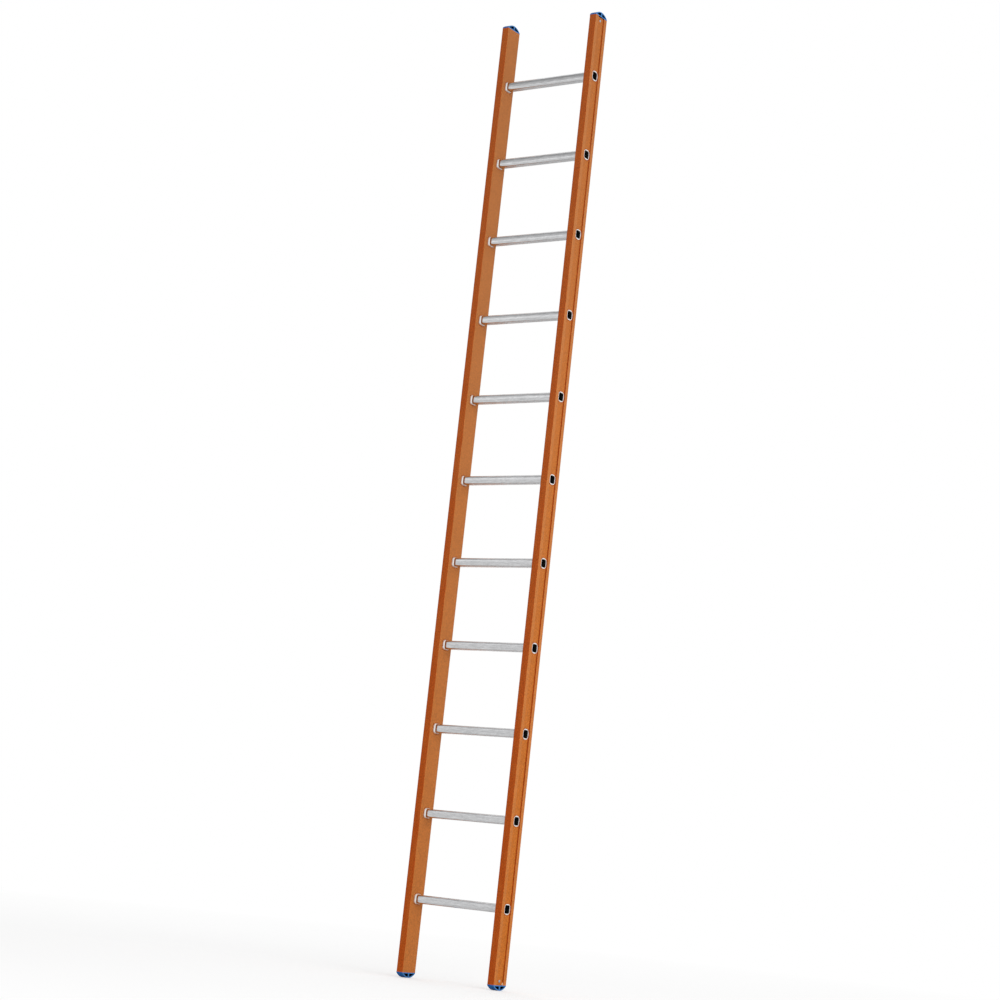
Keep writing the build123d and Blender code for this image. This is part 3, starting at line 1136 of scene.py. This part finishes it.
def make_world():
    """White to look at, the studio's levels for metal to mirror, and an even light on the rest."""
    world = bpy.data.worlds.new("studio")
    world.use_nodes = True
    tree = world.node_tree
    tree.nodes.clear()
    direction = add_node(tree, "ShaderNodeTexCoord").outputs["Generated"]
    x, _, z = axes_of(tree, direction)
    right_wall = remap(tree, x, *RIGHT_WALL_RANGE)
    studio = math_node(tree, "MAXIMUM", grey_steps(tree, z, STUDIO_STEPS), right_wall)
    camera_ray = add_node(tree, "ShaderNodeLightPath").outputs["Is Camera Ray"]
    level = math_node(tree, "MAXIMUM", studio, camera_ray)
    white = add_node(tree, "ShaderNodeBackground", {"Color": WHITE, "Strength": level})
    soft = add_node(tree, "ShaderNodeBackground", {"Color": WHITE, "Strength": AMBIENT})
    mix = add_node(tree, "ShaderNodeMixShader", {0: seen_directly(tree, 1.0)})
    tree.links.new(soft.outputs[0], mix.inputs[1])
    tree.links.new(white.outputs[0], mix.inputs[2])
    output = add_node(tree, "ShaderNodeOutputWorld")
    tree.links.new(mix.outputs[0], output.inputs[0])
    bpy.context.scene.world = world


def floor_material():
    """Pale and matt, lifted towards white where it is looked at, fully so away from the object."""
    material, tree, shader = new_material("studio_floor")
    tree.nodes.remove(shader)
    place = object_place(tree)
    distance = length_of(tree, place)
    rearward = axes_of(tree, place)[1]
    front = remap(tree, rearward, *FLOOR_FRONT_RANGE)
    backdrop = remap(tree, distance, *BACKDROP_RANGE)
    behind = math_node(tree, "MULTIPLY", backdrop, remap(tree, rearward, *FLOOR_REAR_RANGE))
    seen = seen_directly(tree, math_node(tree, "MAXIMUM", front, behind))
    matt = add_node(tree, "ShaderNodeBsdfDiffuse", {"Color": FLOOR_COLOUR})
    lift = math_node(tree, "MULTIPLY", seen, FLOOR_LIFT)
    glow = add_node(tree, "ShaderNodeEmission", {"Color": WHITE, "Strength": lift})
    lifted = add_node(tree, "ShaderNodeAddShader", {0: matt.outputs[0], 1: glow.outputs[0]})
    white = add_node(tree, "ShaderNodeEmission", {"Color": WHITE, "Strength": 1.0})
    away = remap(tree, distance, *FLOOR_AWAY_RANGE)
    mix = add_node(tree, "ShaderNodeMixShader", {0: math_node(tree, "MULTIPLY", away, seen)})
    tree.links.new(lifted.outputs[0], mix.inputs[1])
    tree.links.new(white.outputs[0], mix.inputs[2])
    tree.links.new(mix.outputs[0], tree.nodes["Material Output"].inputs[0])
    return material


def make_floor():
    """Wide flat floor under the feet, which keeps the object's shadow."""
    bm = bmesh.new()
    bmesh.ops.create_grid(bm, x_segments=1, y_segments=1, size=FLOOR_SIZE)
    mesh = bpy.data.meshes.new("studio_floor")
    bm.to_mesh(mesh)
    bm.free()
    mesh.materials.append(floor_material())
    floor = bpy.data.objects.new("studio_floor", mesh)
    bpy.context.scene.collection.objects.link(floor)
    floor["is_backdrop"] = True


def make_lamp(name, place, target, width, height, power):
    """A large soft panel, which the metal doesn't mirror, because it would clip to white."""
    lamp = bpy.data.lights.new(name, "AREA")
    lamp.shape = "RECTANGLE"
    lamp.size = width
    lamp.size_y = height
    lamp.energy = power
    panel = bpy.data.objects.new(name, lamp)
    panel.location = place
    facing = Vector(target) - Vector(place)
    panel.rotation_euler = facing.to_track_quat("-Z", "Y").to_euler()
    panel.visible_glossy = False
    bpy.context.scene.collection.objects.link(panel)


def make_camera():
    """The photograph's camera."""
    camera = bpy.data.cameras.new("camera")
    camera.sensor_width = VIEW_SENSOR
    camera.lens = VIEW_LENS
    camera.dof.use_dof = False
    viewer = bpy.data.objects.new("camera", camera)
    turn = Matrix.Rotation(VIEW_AZIMUTH, 4, "Z")
    tilt = Matrix.Rotation(math.pi / 2 - VIEW_ELEVATION, 4, "X")
    roll = Matrix.Rotation(VIEW_ROLL, 4, "Z")
    viewer.matrix_world = Matrix.Translation(VIEW_PLACE) @ turn @ tilt @ roll
    bpy.context.scene.collection.objects.link(viewer)
    bpy.context.scene.camera = viewer


# The scene

bpy.context.scene.view_settings.view_transform = "Standard"
make_camera()
make_world()
make_floor()
make_lamp("key_panel", **KEY_PANEL)
make_lamp("rear_panel", **REAR_PANEL)

fibre = [glass_fibre()]
metal = [extruded_aluminium(), shaded_bore()]
plastic = [moulded_plastic()]
bright_metal = [rivet_metal()]
make_stile("left_stile", -1, fibre)
make_stile("right_stile", 1, fibre)
for rung_number, rung_height in enumerate(rung_heights, start=1):
    make_rung(f"rung_{rung_number:02d}", rung_height, metal)
for end_name, end in (("top", 1), ("foot", -1)):
    for side_name, side in (("left", -1), ("right", 1)):
        make_cap(f"{end_name}_cap_{side_name}", side, end, plastic)
        make_rivet(f"rivet_{end_name}_{side_name}", bright_metal)

visual_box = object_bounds()
boxes = {"cad": cad_box, "visual": visual_box}
{key: [list(corner) for corner in box] for key, box in boxes.items()}
